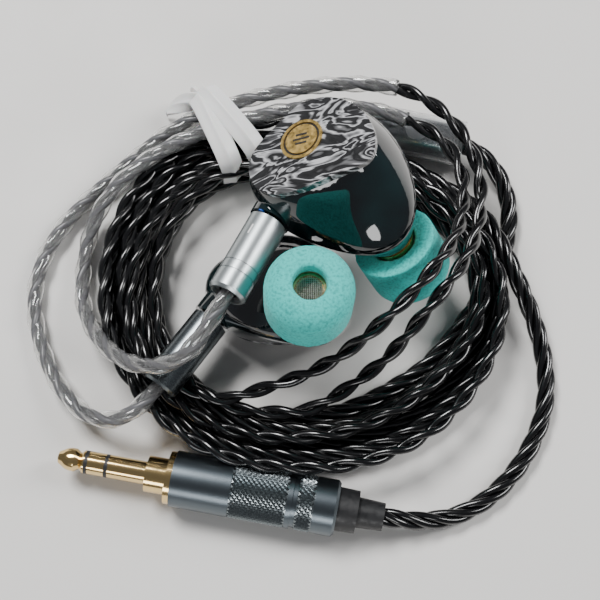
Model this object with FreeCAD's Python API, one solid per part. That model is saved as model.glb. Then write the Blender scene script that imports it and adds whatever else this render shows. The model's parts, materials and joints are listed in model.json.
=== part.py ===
"""In-ear monitors lying coiled on a table: two custom-style earpieces with foam tips,
two-pin connectors, shaped ear hooks, a Y splitter with its slider and a 3.5 mm plug.

Millimetres, +Z up, the table is z = 0. The origin is under the middle of the two earpieces.
"""
import FreeCAD, Part
import math
import os
from FreeCAD import Placement, Rotation, Vector

os.makedirs("parts", exist_ok=True)

# ---------------------------------------------------------------- driving dimensions, mm
# Earpiece. Its own frame: x and y in the faceplate, z out of the faceplate, 0 on the seam.
FACE_LENGTH = 19.8            # faceplate along x
FACE_WIDTH = 15.4             # faceplate along y
FACE_THICK = 1.5              # faceplate at the top of its crown
FACE_EDGE = 0.7               # faceplate at its rim
SHELL_DEPTH = 15.0            # seam to the nozzle seat
SHELL_WALL = 0.9
BADGE_RADIUS = 3.3
BADGE_THICK = 0.6
BADGE_PROUD = 0.12            # badge above the crown of the faceplate
NOZZLE_SEAT_RADIUS = 3.9      # outside of the shell where the nozzle leaves it
NOZZLE_NECK_RADIUS = 2.7
NOZZLE_NECK_LENGTH = 1.6
NOZZLE_FLANGE_RADIUS = 3.15
NOZZLE_FLANGE_THICK = 0.8
NOZZLE_TUBE_RADIUS = 2.3
NOZZLE_TUBE_LENGTH = 6.3
NOZZLE_LIP_RADIUS = 2.55
NOZZLE_LIP_LENGTH = 0.9
NOZZLE_BORE_RADIUS = 1.7
NOZZLE_ROOT = 2.2             # nozzle inside the shell
MESH_RADIUS = 2.0
MESH_THICK = 0.2
NOZZLE_SPLAY = 7.0            # nozzle's tilt from square to the faceplate, degrees
DRIVER_RADIUS = 4.9           # 10 mm class dynamic driver
DRIVER_THICK = 2.6
DRIVER_WALL = 0.4
DRIVER_VENT_RADIUS = 0.8
DRIVER_TOP = 4.6              # back of the driver below the seam
BAFFLE_THICK = 0.8            # printed plate that the driver is glued into
MAGNET_RADIUS = 3.0
MAGNET_THICK = 1.4
DIAPHRAGM_THICK = 0.12
ARMATURE_SIZE = (5.0, 2.7, 2.0)
BOARD_SIZE = (6.4, 3.4, 0.8)
MARK_RADIUS = 0.45            # coloured channel dot

# Foam ear tip
FOAM_RADIUS = 6.35
FOAM_LENGTH = 9.6
FOAM_BORE_RADIUS = 2.35       # sound opening at the front
FOAM_ROUND = 3.4              # radius of the domed front edge
FOAM_RECESS_RADIUS = 3.45
FOAM_RECESS_DEPTH = 0.9
CORE_WALL = 0.5               # plastic tube inside the foam
CORE_LENGTH = 6.2
TIP_CLEARANCE = 0.05          # core over the nozzle lip

# Two-pin connector, along its own axis from the earpiece to the cable
SOCKET_FACE_RADIUS = 3.1
SOCKET_DEPTH = 4.9            # axis below the seam of the faceplate
SOCKET_STEP = 3.0             # face standing out from the shell
SOCKET_RADIUS = 1.95
SOCKET_LENGTH = 3.6
PIN_RADIUS = 0.38
PIN_PITCH = 1.8
PIN_REACH = 2.1               # pin inside the socket
PIN_CLEARANCE = 0.03
CONNECTOR_GAP = 0.4           # socket face to barrel
CONNECTOR_RADIUS = 2.9
CONNECTOR_LENGTH = 12.8
CONNECTOR_WALL = 0.7
CONNECTOR_GROOVE = 0.12
GROOVE_WIDTH = 0.3
INSERT_LENGTH = 6.6
GRIP_LENGTH = 3.0
PIN_TAIL = 2.0                # pin behind the insert, where the wire is soldered

# Cable
MAIN_DIAMETER = 2.9           # four strands
PAIR_DIAMETER = 2.3           # two strands
HOOK_DIAMETER = 2.8           # clear sleeve over the pair
COIL_HEIGHT = 5.0
COIL_ROUND = 1.4
LEAD_OFFSET = 1.25            # each ear's lead beside the splitter's axis
ARC_SHARE = 0.45              # of the shorter run, taken by an arc

# Y splitter and the clear slider over it
SPLITTER_RADIUS = 2.85
SPLITTER_LENGTH = 14.0
SPLITTER_CAP_LENGTH = 1.6
SPLITTER_BORE_RADIUS = 1.6
SPLITTER_BADGE_RADIUS = 1.9
SPLITTER_BADGE_THICK = 0.5
SPLITTER_BADGE_PROUD = 0.1
SLIDER_RADIUS = 3.7
SLIDER_WALL = 0.35
SLIDER_LENGTH = 15.6
SLIDER_CLEARANCE = 0.1        # radial, over the splitter's end rings

# 3.5 mm plug, along its own axis from the tip to the cable
PLUG_RADIUS = 1.75
PLUG_LENGTH = 14.0
PLUG_NOSE = 2.2               # rounded end, before the straight part
PLUG_RING_START = 5.0
PLUG_SLEEVE_START = 8.1
INSULATOR_WIDTH = 0.55
PLUG_ROOT_RADIUS = 1.5          # sleeve where the collar is pressed on
PLUG_CORE_RADIUS = 0.45
INSULATOR_TUBE_RADIUS = 0.8
PLUG_COLLAR_RADIUS = 2.75
PLUG_COLLAR_LENGTH = 3.2
PLUG_FLANGE_RADIUS = 4.0
PLUG_FLANGE_THICK = 0.9
BARREL_RADIUS = 4.25
BARREL_LENGTH = 18.2
BARREL_WALL = 0.8
REAR_LENGTH = 6.8
REAR_GROOVE = 0.25
RELIEF_BIG_RADIUS = 3.3
RELIEF_BIG_LENGTH = 3.0
RELIEF_SMALL_RADIUS = 2.3
RELIEF_SMALL_LENGTH = 4.0
PLUG_TAIL = 4.0               # contacts inside the barrel
TAG_LENGTH = 6.0              # solder tags
TAG_WIDTH = 1.6
TAG_THICK = 0.5
TAG_OFFSET = 1.6

# Twist tie round the coil
TIE_WIDTH = 3.6
TIE_THICK = 0.5
TIE_SPAN = 14.0               # across the coil
TIE_HEIGHT = 9.9
TIE_ROUND = 1.8

# ---------------------------------------------------------------- how the pieces lie
LEFT_CENTRE = Vector(-1.34, 9.65, 25.6)
LEFT_NORMAL = Vector(-0.451, 0.235, 0.861)
LEFT_ACROSS = Vector(1.0, 0.0, 0.0)
RIGHT_CENTRE = Vector(-6.43, -6.85, 2.37)
RIGHT_NORMAL = Vector(-0.04, -0.17, -0.985)
RIGHT_ACROSS = Vector(-0.987, 0.160, 0.0)
PLUG_TIP_END = Vector(-40.2, -31.6, BARREL_RADIUS)
PLUG_ANGLE = -10.4
SPLITTER_CENTRE = Vector(15.5, 21.1, SLIDER_RADIUS + 0.1)
SPLITTER_ANGLE = -12.5
TIE_CENTRE = Vector(-15.2, 19.6, 0)
TIE_TURN = 32.0               # the coil's direction there
TIE_SHIFT = 1.3


# ---------------------------------------------------------------- small makers
def turned(profile):
    """Solid of revolution about z from (radius, height) corners."""
    points = [Vector(radius, 0, height) for radius, height in profile]
    face = Part.Face(Part.makePolygon(points + points[:1]))
    return face.revolve(Vector(0, 0, 0), Vector(0, 0, 1), 360)


def tube(outer, inner, low, high):
    """Straight tube about z."""
    return turned([(inner, low), (outer, low), (outer, high), (inner, high)])


def rod(radius, low, high):
    """Straight rod about z."""
    return Part.makeCylinder(radius, high - low, Vector(0, 0, low))


def block(size, centre):
    """Box with its middle at centre."""
    corner = Vector(*centre) - Vector(*size) * 0.5
    return Part.makeBox(*size, corner)


def frame_at(origin, z_axis, x_hint):
    """Placement whose z runs along z_axis and whose x is as near x_hint as it can be."""
    z = Vector(z_axis).normalize()
    x = (x_hint - z * x_hint.dot(z)).normalize()
    return Placement(origin, Rotation(x, z.cross(x), z, "ZXY"))


def placed(shape, placement):
    """The shape moved rigidly, with its place in its geometry."""
    moved = shape.copy()
    moved.transformShape(placement.toMatrix())
    return moved


def save(name, shape):
    """Write one node, and say what it holds."""
    solids = shape.Solids
    shape = solids[0] if len(solids) == 1 else Part.makeCompound(solids)
    box = shape.BoundBox
    good = shape.isValid() and all(s.Volume > 0 and s.isClosed() for s in solids)
    print(f"{name:26s} {len(solids)} solid(s) {shape.Volume:9.2f} mm3 "
          f"z {box.ZMin:6.2f}..{box.ZMax:6.2f} {'ok' if good else 'BAD'}")
    shape.exportStep(f"parts/{name}.step")
    MADE[name] = shape


MADE = {}

# ---------------------------------------------------------------- earpiece
# Rim of the faceplate as shares of its length and width: flat below, round above.
RIM = [(-0.52, 0.03), (-0.47, -0.25), (-0.33, -0.415), (-0.08, -0.465), (0.22, -0.415), (0.45, -0.33),
       (0.485, -0.07), (0.37, 0.27), (0.16, 0.49), (-0.08, 0.535), (-0.31, 0.34)]
# Shell from the seam to the nozzle seat: share of the depth, middle (x, y) as shares of the
# faceplate, size (x, y) as shares of the faceplate, and how round the outline has become.
SHELL_STATIONS = [
    (0.00, (0.0, 0.0), (1.00, 1.00), 0.0),
    (0.20, (-0.01, -0.01), (1.13, 1.16), 0.15),
    (0.42, (0.02, -0.06), (1.13, 1.20), 0.3),
    (0.63, (0.09, -0.18), (0.98, 1.10), 0.5),
    (0.82, (0.185, -0.36), (0.68, 0.82), 0.8),
    (1.00, (0.24, -0.465), (2 * NOZZLE_SEAT_RADIUS / FACE_LENGTH, 2 * NOZZLE_SEAT_RADIUS / FACE_WIDTH), 1.0),
]


def outline(depth, middle, size, roundness, inset=0.0):
    """One closed smooth outline across the shell."""
    centre = Vector(middle[0] * FACE_LENGTH, middle[1] * FACE_WIDTH, -depth)
    points = []
    for share_x, share_y in RIM:
        angle = math.atan2(share_y * FACE_WIDTH, share_x * FACE_LENGTH)
        oval_x = 0.5 * math.cos(angle) * FACE_LENGTH
        oval_y = 0.5 * math.sin(angle) * FACE_WIDTH
        x = (share_x * FACE_LENGTH * (1 - roundness) + oval_x * roundness) * size[0]
        y = (share_y * FACE_WIDTH * (1 - roundness) + oval_y * roundness) * size[1]
        point = Vector(x, y, 0)
        points.append(centre + point * (1 - inset / point.Length))
    curve = Part.BSplineCurve()
    curve.interpolate(Points=points, PeriodicFlag=True)
    return Part.Wire(curve.toShape())


def shell_body(inset, depth):
    """Lofted body of the shell, or of its hollow."""
    wires = [outline(share * depth, middle, size, roundness, inset)
             for share, middle, size, roundness in SHELL_STATIONS]
    return Part.makeLoft(wires, True, False)


NOZZLE_SEAT = Vector(SHELL_STATIONS[-1][1][0] * FACE_LENGTH, SHELL_STATIONS[-1][1][1] * FACE_WIDTH, -SHELL_DEPTH)
NOZZLE_DIRECTION = Vector(0, -math.sin(math.radians(NOZZLE_SPLAY)), -math.cos(math.radians(NOZZLE_SPLAY)))
NOZZLE_FRAME = frame_at(NOZZLE_SEAT, NOZZLE_DIRECTION, Vector(1, 0, 0))
CONNECTOR_DIRECTION = Vector(-0.45, -0.88, 0.11).normalize()
SOCKET_FACE = Vector(-0.42 * FACE_LENGTH, -0.27 * FACE_WIDTH, -SOCKET_DEPTH) + CONNECTOR_DIRECTION * SOCKET_STEP
SOCKET_FRAME = frame_at(SOCKET_FACE, CONNECTOR_DIRECTION, Vector(0, 0, 1))
FLANGE_START = NOZZLE_NECK_LENGTH
TUBE_START = FLANGE_START + NOZZLE_FLANGE_THICK
NOZZLE_END = TUBE_START + NOZZLE_TUBE_LENGTH
TIP_BASE = TUBE_START - 0.4
BADGE_CENTRE = Vector(-0.065 * FACE_LENGTH, 0.07 * FACE_WIDTH, 0)
DRIVER_CENTRE = Vector(0.075 * FACE_LENGTH, -0.11 * FACE_WIDTH, -DRIVER_TOP)


def make_shell():
    outer = shell_body(0, SHELL_DEPTH)
    hollow = shell_body(SHELL_WALL, SHELL_DEPTH - SHELL_WALL)
    boss = placed(rod(SOCKET_FACE_RADIUS, -5.0, 0), SOCKET_FRAME)
    body = outer.fuse(boss.common(Part.makeBox(60, 60, 30, Vector(-30, -30, -30)))).cut(hollow)
    body = body.cut(placed(rod(SOCKET_RADIUS, -SOCKET_LENGTH, 1), SOCKET_FRAME))
    body = body.cut(placed(rod(NOZZLE_NECK_RADIUS, -NOZZLE_ROOT, 2), NOZZLE_FRAME))
    return max(body.Solids, key=lambda solid: solid.Volume)


def make_faceplate():
    blank = Part.Face(outline(0, (0, 0), (1, 1), 0)).extrude(Vector(0, 0, FACE_THICK + 1))
    rise = FACE_THICK - FACE_EDGE
    crown_radius = (FACE_LENGTH ** 2 / 4 + rise ** 2) / (2 * rise)
    crown = Part.makeSphere(crown_radius, Vector(0, 0, FACE_THICK - crown_radius))
    plate = blank.common(crown)
    pocket = rod(BADGE_RADIUS, FACE_THICK + BADGE_PROUD - BADGE_THICK, FACE_THICK + 1)
    pocket.translate(BADGE_CENTRE)
    return plate.cut(pocket)


def make_badge():
    badge = rod(BADGE_RADIUS, FACE_THICK + BADGE_PROUD - BADGE_THICK, FACE_THICK + BADGE_PROUD)
    badge.translate(BADGE_CENTRE)
    return badge


def make_nozzle():
    lip = NOZZLE_END - NOZZLE_LIP_LENGTH
    return turned([(NOZZLE_BORE_RADIUS, -NOZZLE_ROOT), (NOZZLE_NECK_RADIUS, -NOZZLE_ROOT),
                   (NOZZLE_NECK_RADIUS, FLANGE_START), (NOZZLE_FLANGE_RADIUS, FLANGE_START),
                   (NOZZLE_FLANGE_RADIUS, TUBE_START), (NOZZLE_TUBE_RADIUS, TUBE_START),
                   (NOZZLE_TUBE_RADIUS, lip), (NOZZLE_LIP_RADIUS, lip), (NOZZLE_LIP_RADIUS, NOZZLE_END),
                   (MESH_RADIUS, NOZZLE_END), (MESH_RADIUS, NOZZLE_END - 0.5),
                   (NOZZLE_BORE_RADIUS, NOZZLE_END - 0.5)])


def make_foam():
    base, front = TIP_BASE, TIP_BASE + FOAM_LENGTH
    core_outer = NOZZLE_LIP_RADIUS + TIP_CLEARANCE + CORE_WALL
    core_start = base + FOAM_RECESS_DEPTH
    foam = turned([(FOAM_RECESS_RADIUS, base), (FOAM_RADIUS, base), (FOAM_RADIUS, front), (FOAM_BORE_RADIUS, front),
                   (FOAM_BORE_RADIUS, core_start + CORE_LENGTH), (core_outer, core_start + CORE_LENGTH),
                   (core_outer, core_start), (FOAM_RECESS_RADIUS, core_start)])
    rim = [e for e in foam.Edges if abs(e.BoundBox.ZMin - front) < 0.01 and e.BoundBox.XMax > FOAM_RADIUS - 0.01]
    foam = foam.makeFillet(FOAM_ROUND, rim)
    mouth = [e for e in foam.Edges if abs(e.BoundBox.ZMin - front) < 0.01 and e.BoundBox.ZMax < front + 0.01
             and e.BoundBox.XMax < FOAM_BORE_RADIUS + 0.01 and e.Length > 1]
    return foam.makeFillet(0.5, mouth)


def make_core():
    inner = NOZZLE_LIP_RADIUS + TIP_CLEARANCE
    start = TIP_BASE + FOAM_RECESS_DEPTH
    return tube(inner + CORE_WALL, inner, start, start + CORE_LENGTH)


def make_driver():
    """Frame, magnet and diaphragm of the dynamic driver, facing the nozzle, and its baffle."""
    inside = DRIVER_RADIUS - DRIVER_WALL
    floor = -DRIVER_WALL
    frame = turned([(DRIVER_VENT_RADIUS, 0), (DRIVER_VENT_RADIUS, floor), (inside, floor),
                    (inside, -DRIVER_THICK), (DRIVER_RADIUS, -DRIVER_THICK), (DRIVER_RADIUS, 0)])
    magnet = rod(MAGNET_RADIUS, floor - MAGNET_THICK, floor)
    film = rod(inside, 0.3 - DRIVER_THICK, 0.3 - DRIVER_THICK + DIAPHRAGM_THICK)
    for shape in (frame, magnet, film):
        shape.translate(DRIVER_CENTRE)
    low = -DRIVER_TOP - DRIVER_THICK
    slab = Part.makeBox(60, 60, BAFFLE_THICK, Vector(-30, -30, low))
    opening = rod(DRIVER_RADIUS, -DRIVER_THICK - 1, 1)
    opening.translate(DRIVER_CENTRE)
    baffle = shell_body(SHELL_WALL, SHELL_DEPTH - SHELL_WALL).common(slab).cut(opening)
    baffle = baffle.cut(placed(rod(SOCKET_FACE_RADIUS, -SOCKET_LENGTH - 2, 0), SOCKET_FRAME))
    return frame, magnet, film, baffle


def make_socket():
    body = rod(SOCKET_RADIUS, -SOCKET_LENGTH, 0)
    for side in (-1, 1):
        hole = rod(PIN_RADIUS + PIN_CLEARANCE, -PIN_REACH - 0.1, 1)
        hole.translate(Vector(0, side * PIN_PITCH / 2, 0))
        body = body.cut(hole)
    return body


def earpiece_nodes():
    """Every piece of the left earpiece, and of its tip, in the earpiece's own frame."""
    frame, magnet, film, baffle = make_driver()
    mesh = rod(MESH_RADIUS, NOZZLE_END - 0.5, NOZZLE_END - 0.5 + MESH_THICK)
    mark = rod(MARK_RADIUS, -1.0, 0.15)
    mark.translate(Vector(SOCKET_FACE_RADIUS - MARK_RADIUS - 0.1, 0, 0))
    shell = make_shell().cut(placed(mark, SOCKET_FRAME))
    shell_pieces = {
        "shell": shell,
        "faceplate": make_faceplate(),
        "badge": make_badge(),
        "nozzle": placed(make_nozzle(), NOZZLE_FRAME),
        "nozzle_mesh": placed(mesh, NOZZLE_FRAME),
        "driver_frame": frame,
        "driver_magnet": magnet,
        "diaphragm": film,
        "driver_baffle": baffle,
        "armature_driver": block(ARMATURE_SIZE, (0.14 * FACE_LENGTH, 0.12 * FACE_WIDTH, -2.4)),
        "crossover_board": block(BOARD_SIZE, (0.12 * FACE_LENGTH, 0.12 * FACE_WIDTH, -0.9)),
        "socket": placed(make_socket(), SOCKET_FRAME),
        "channel_mark": placed(mark, SOCKET_FRAME),
    }
    tip_pieces = {
        "foam_tip": placed(make_foam(), NOZZLE_FRAME),
        "tip_core": placed(make_core(), NOZZLE_FRAME),
    }
    return {**shell_pieces, **tip_pieces}


# ---------------------------------------------------------------- two-pin connector
def connector_nodes():
    """Pieces of one connector in the socket's frame: z runs from the earpiece to the cable."""
    front = CONNECTOR_GAP
    back = front + CONNECTOR_LENGTH
    bore = CONNECTOR_RADIUS - CONNECTOR_WALL
    skin = CONNECTOR_RADIUS - CONNECTOR_GROOVE
    profile = [(bore, front), (CONNECTOR_RADIUS, front)]
    for share in (0.64, 0.75):
        start = front + share * CONNECTOR_LENGTH
        profile += [(CONNECTOR_RADIUS, start), (skin, start), (skin, start + GROOVE_WIDTH),
                    (CONNECTOR_RADIUS, start + GROOVE_WIDTH)]
    profile += [(CONNECTOR_RADIUS, back - 0.4), (CONNECTOR_RADIUS - 0.4, back), (bore, back)]
    insert = rod(bore, front + 0.3, front + 0.3 + INSERT_LENGTH)
    pins = []
    for side in (-1, 1):
        pin = rod(PIN_RADIUS, -PIN_REACH, front + 0.3 + INSERT_LENGTH + PIN_TAIL)
        pin.translate(Vector(0, side * PIN_PITCH / 2, 0))
        pins.append(pin)
        insert = insert.cut(pin)
    grip = tube(bore, HOOK_DIAMETER / 2, back - GRIP_LENGTH, back - 0.5)
    return {"connector_barrel": turned(profile), "connector_insert": insert,
            "connector_pins": Part.makeCompound(pins), "cable_grip": grip}


for side, centre, normal, across, mirrored in (
        ("left", LEFT_CENTRE, LEFT_NORMAL, LEFT_ACROSS, False),
        ("right", RIGHT_CENTRE, RIGHT_NORMAL, RIGHT_ACROSS, True)):
    rest = frame_at(centre, normal, across)
    pieces = earpiece_nodes()
    pieces.update({name: placed(shape, SOCKET_FRAME) for name, shape in connector_nodes().items()})
    for name, shape in pieces.items():
        if mirrored:
            shape = shape.mirror(Vector(0, 0, 0), Vector(1, 0, 0))
        save(f"{side}_{name}", placed(shape, rest))


# ---------------------------------------------------------------- where the cable's pieces lie
LEFT_REST = frame_at(LEFT_CENTRE, LEFT_NORMAL, LEFT_ACROSS)
RIGHT_REST = frame_at(RIGHT_CENTRE, RIGHT_NORMAL, RIGHT_ACROSS)
SPLITTER_AXIS = Vector(math.cos(math.radians(SPLITTER_ANGLE)), math.sin(math.radians(SPLITTER_ANGLE)), 0)
SPLITTER_FRAME = frame_at(SPLITTER_CENTRE, SPLITTER_AXIS, Vector(0, 0, 1))
PLUG_AXIS = Vector(math.cos(math.radians(PLUG_ANGLE)), math.sin(math.radians(PLUG_ANGLE)), 0)
PLUG_FRAME = frame_at(PLUG_TIP_END, PLUG_AXIS, Vector(0, 0, 1))
COLLAR_END = PLUG_LENGTH + PLUG_COLLAR_LENGTH
BARREL_START = COLLAR_END + PLUG_FLANGE_THICK
REAR_START = BARREL_START + BARREL_LENGTH
RELIEF_START = REAR_START + REAR_LENGTH
RELIEF_STEP = RELIEF_START + RELIEF_BIG_LENGTH
PLUG_END = RELIEF_STEP + RELIEF_SMALL_LENGTH


def on_connector(rest, mirrored, height):
    """Point on a connector's axis, at a height measured from its own back end."""
    point = SOCKET_FRAME.multVec(Vector(0, 0, CONNECTOR_GAP + CONNECTOR_LENGTH + height))
    if mirrored:
        point.x = -point.x
    return rest.multVec(point)


def on_splitter(height, side=0.0):
    return SPLITTER_FRAME.multVec(Vector(0, side, height))


def on_plug(height):
    return PLUG_FRAME.multVec(Vector(0, 0, height))


# ---------------------------------------------------------------- cable routes, chosen by hand
LEFT_HOOK = [on_connector(LEFT_REST, False, -GRIP_LENGTH), on_connector(LEFT_REST, False, 3.4),
             (-19.3, -19.3, 19.0), (-24.8, -20.2, 14.9), (-30.4, -18.0, 10.8), (-35.0, -13.2, 6.6),
             (-37.9, -7.2, 3.0), (-38.2, -0.8, 1.6), (-37.0, 5.6, 3.0), (-33.4, 11.2, 5.6),
             (-27.4, 15.9, 6.9), (-20.4, 19.4, 7.2), (-12.6, 21.8, 7.8), (-5.0, 23.1, 9.4),
             (2.6, 23.4, 10.3), (9.0, 22.5, 10.3), (14.4, 20.6, 10.2)]
RIGHT_HOOK = [on_connector(RIGHT_REST, True, -GRIP_LENGTH), on_connector(RIGHT_REST, True, 1.4),
              (-29.2, -26.3, 8.2), (-33.9, -26.6, 6.4), (-38.4, -23.6, 4.2), (-42.2, -18.4, 2.4),
              (-44.9, -12.2, 1.5), (-46.0, -5.6, 1.5), (-44.8, 0.8, 1.5), (-41.6, 6.6, 1.5),
              (-37.2, 11.4, 1.7), (-32.0, 15.8, 2.8), (-26.0, 20.2, 5.0), (-19.0, 23.6, 6.9),
              (-11.0, 25.8, 7.9), (-2.6, 27.0, 9.4), (5.4, 27.3, 10.1), (12.8, 26.5, 10.2)]
LEFT_EAR = [LEFT_HOOK[-1], (19.1, 17.4, 11.0), (21.7, 12.1, 12.0), (21.6, 5.2, 14.5), (19.6, -1.1, 18.0),
            (16.3, -6.2, 20.8), (12.6, -10.4, 20.8), (8.9, -13.8, 18.8), (4.4, -17.0, 15.0),
            (-0.5, -19.4, 10.8), (-5.9, -20.8, 7.4), (-11.4, -22.2, 6.0), (-16.6, -23.6, 5.4),
            (-21.7, -24.0, 3.6)]
RIGHT_EAR = [RIGHT_HOOK[-1], (17.7, 23.4, 11.2), (22.0, 18.3, 12.0), (24.4, 12.1, 12.0), (24.4, 5.2, 13.0),
             (22.3, -1.8, 16.0), (19.0, -7.4, 18.5), (15.7, -11.4, 18.5), (12.6, -14.9, 15.5),
             (9.5, -17.9, 11.0), (5.6, -20.5, 8.0), (1.4, -23.1, 6.2), (-3.2, -25.3, 5.0),
             (-7.8, -27.0, 3.2)]
LEFT_LEAD = [on_splitter(-SPLITTER_LENGTH / 2, LEAD_OFFSET),
             on_splitter(-SPLITTER_LENGTH / 2 - 7.5, LEAD_OFFSET), (-7.4, 21.0, 2.5)]
RIGHT_LEAD = [on_splitter(-SPLITTER_LENGTH / 2, -LEAD_OFFSET),
              on_splitter(-SPLITTER_LENGTH / 2 - 7.5, -LEAD_OFFSET), (-7.4, 23.7, 2.5)]
MAIN_TAIL = [on_plug(PLUG_END - 6.0), on_plug(PLUG_END + 1.8), (14.8, -41.2, 2.6), (20.6, -40.4, 1.5),
             (26.7, -36.9, 1.5), (31.8, -30.9, 1.5), (35.0, -23.5, 1.5), (35.2, -16.5, 1.5),
             (33.6, -9.9, 2.6), (31.1, -4.4, 4.6), (28.9, 0.9, 5.0), (26.8, 5.6, 4.4), (24.2, 9.4, 3.2),
             (20.4, 11.6, 2.5)]
MAIN_HEAD = [on_splitter(SPLITTER_LENGTH / 2 - 2.0), on_splitter(SPLITTER_LENGTH / 2 + 1.2),
             (27.0, 17.2, 3.4), (29.8, 13.4, 2.3), (30.9, 8.2, 1.5), (29.8, 2.2, 1.5), (27.2, -3.8, 1.6),
             (23.8, -9.6, 2.5)]
COIL_OUTSIDE = [(-35.8, -4.0), (-34.9, 5.0), (-29.6, 13.6), (-20.0, 21.4), (-9.9, 25.0), (-3.5, 22.3),
                (2.0, 18.8), (9.0, 17.2), (17.0, 15.2), (24.4, 11.0), (29.0, 3.0), (29.6, -7.0),
                (26.4, -16.2), (20.0, -25.4), (9.5, -31.2), (-2.0, -32.9), (-13.5, -31.4),
                (-23.8, -26.6), (-31.6, -18.0)]
COIL_INSIDE = [(-25.8, -6.0), (-25.6, 1.0), (-21.6, 8.0), (-15.0, 13.4), (-6.0, 14.6), (4.0, 13.0),
               (12.5, 11.6), (19.0, 9.8), (23.4, 5.0), (24.2, -2.0), (22.6, -9.5), (17.0, -16.5),
               (9.5, -21.5), (0.0, -24.0), (-11.0, -22.6), (-20.5, -18.8)]


# ---------------------------------------------------------------- cable
def route(name, points):
    """Straight runs joined by tangent arcs, each as large as its two runs allow."""
    points = [Vector(*point) for point in points]
    edges, start, radii = [], points[0], []
    for before, corner, after in zip(points, points[1:], points[2:]):
        back, ahead = before - corner, after - corner
        reach = ARC_SHARE * min(back.Length, ahead.Length)
        back.normalize()
        ahead.normalize()
        half_turn = (math.pi - back.getAngle(ahead)) / 2
        radius = reach / math.tan(half_turn)
        middle = corner + (back + ahead).normalize() * (radius / math.cos(half_turn) - radius)
        first, last = corner + back * reach, corner + ahead * reach
        edges += [Part.LineSegment(start, first).toShape(), Part.Arc(first, middle, last).toShape()]
        start = last
        radii.append(round(radius, 1))
    edges.append(Part.LineSegment(start, points[-1]).toShape())
    wire = Part.Wire(edges)
    print(f"{name}: length {wire.Length:.1f}, radii {radii}")
    return wire


def cable_tube(name, points, diameter):
    """Plain tube of one stretch of cable, checked against its section times its length."""
    wire = route(name, points)
    start, second = Vector(*points[0]), Vector(*points[1])
    circle = Part.Wire(Part.makeCircle(diameter / 2, start, second - start))
    solid = wire.makePipe(Part.Face(circle))
    expected = math.pi * diameter ** 2 / 4 * wire.Length
    print(f"{name}: volume is {solid.Volume / expected:.3f} of section times length")
    return solid


def flat_face(points):
    curve = Part.BSplineCurve()
    curve.interpolate(Points=[Vector(x, y, 0) for x, y in points], PeriodicFlag=True)
    return Part.Face(Part.Wire(curve.toShape()))


def make_coil():
    """Outer shape of the whole coil, with its hole."""
    ring = flat_face(COIL_OUTSIDE).cut(flat_face(COIL_INSIDE))
    coil = ring.extrude(Vector(0, 0, COIL_HEIGHT)).Solids[0]
    return coil.makeFillet(COIL_ROUND, [edge for edge in coil.Edges if edge.Length > COIL_HEIGHT])


save("left_ear_hook", cable_tube("left hook", LEFT_HOOK, HOOK_DIAMETER))
save("right_ear_hook", cable_tube("right hook", RIGHT_HOOK, HOOK_DIAMETER))
left_stretches = [cable_tube("left ear cable", LEFT_EAR, PAIR_DIAMETER),
                  cable_tube("left lead", LEFT_LEAD, PAIR_DIAMETER)]
right_stretches = [cable_tube("right ear cable", RIGHT_EAR, PAIR_DIAMETER),
                   cable_tube("right lead", RIGHT_LEAD, PAIR_DIAMETER)]
main_stretches = [cable_tube("main tail", MAIN_TAIL, MAIN_DIAMETER),
                  cable_tube("main head", MAIN_HEAD, MAIN_DIAMETER)]
save("left_ear_cable", Part.makeCompound(left_stretches))
save("right_ear_cable", Part.makeCompound(right_stretches))
save("main_cable", Part.makeCompound(main_stretches))
save("cable_coil", make_coil())


# ---------------------------------------------------------------- Y splitter and chin slider
def splitter_nodes():
    half = SPLITTER_LENGTH / 2
    cap_start = half - SPLITTER_CAP_LENGTH
    slider_bore = SLIDER_RADIUS - SLIDER_WALL
    badge_bottom = SPLITTER_RADIUS - SPLITTER_BADGE_THICK
    disc = placed(rod(SPLITTER_BADGE_RADIUS, badge_bottom, SPLITTER_RADIUS + 1),
                  frame_at(Vector(0, 0, 0), Vector(1, 0, 0), Vector(0, 0, 1)))
    badge = disc.common(rod(SPLITTER_RADIUS + SPLITTER_BADGE_PROUD, -half, half))
    barrel = tube(SPLITTER_RADIUS, SPLITTER_BORE_RADIUS, -half, cap_start).cut(disc)
    cap = tube(slider_bore - SLIDER_CLEARANCE, SPLITTER_BORE_RADIUS, cap_start, half)
    joint = rod(SPLITTER_BORE_RADIUS, -half, half - 2.0)
    slider = tube(SLIDER_RADIUS, slider_bore, -SLIDER_LENGTH / 2, SLIDER_LENGTH / 2)
    return {"splitter_barrel": barrel, "splitter_badge": badge, "splitter_cap": cap,
            "splitter_joint": joint, "chin_slider": slider}


for name, shape in splitter_nodes().items():
    save(name, placed(shape, SPLITTER_FRAME))


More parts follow.
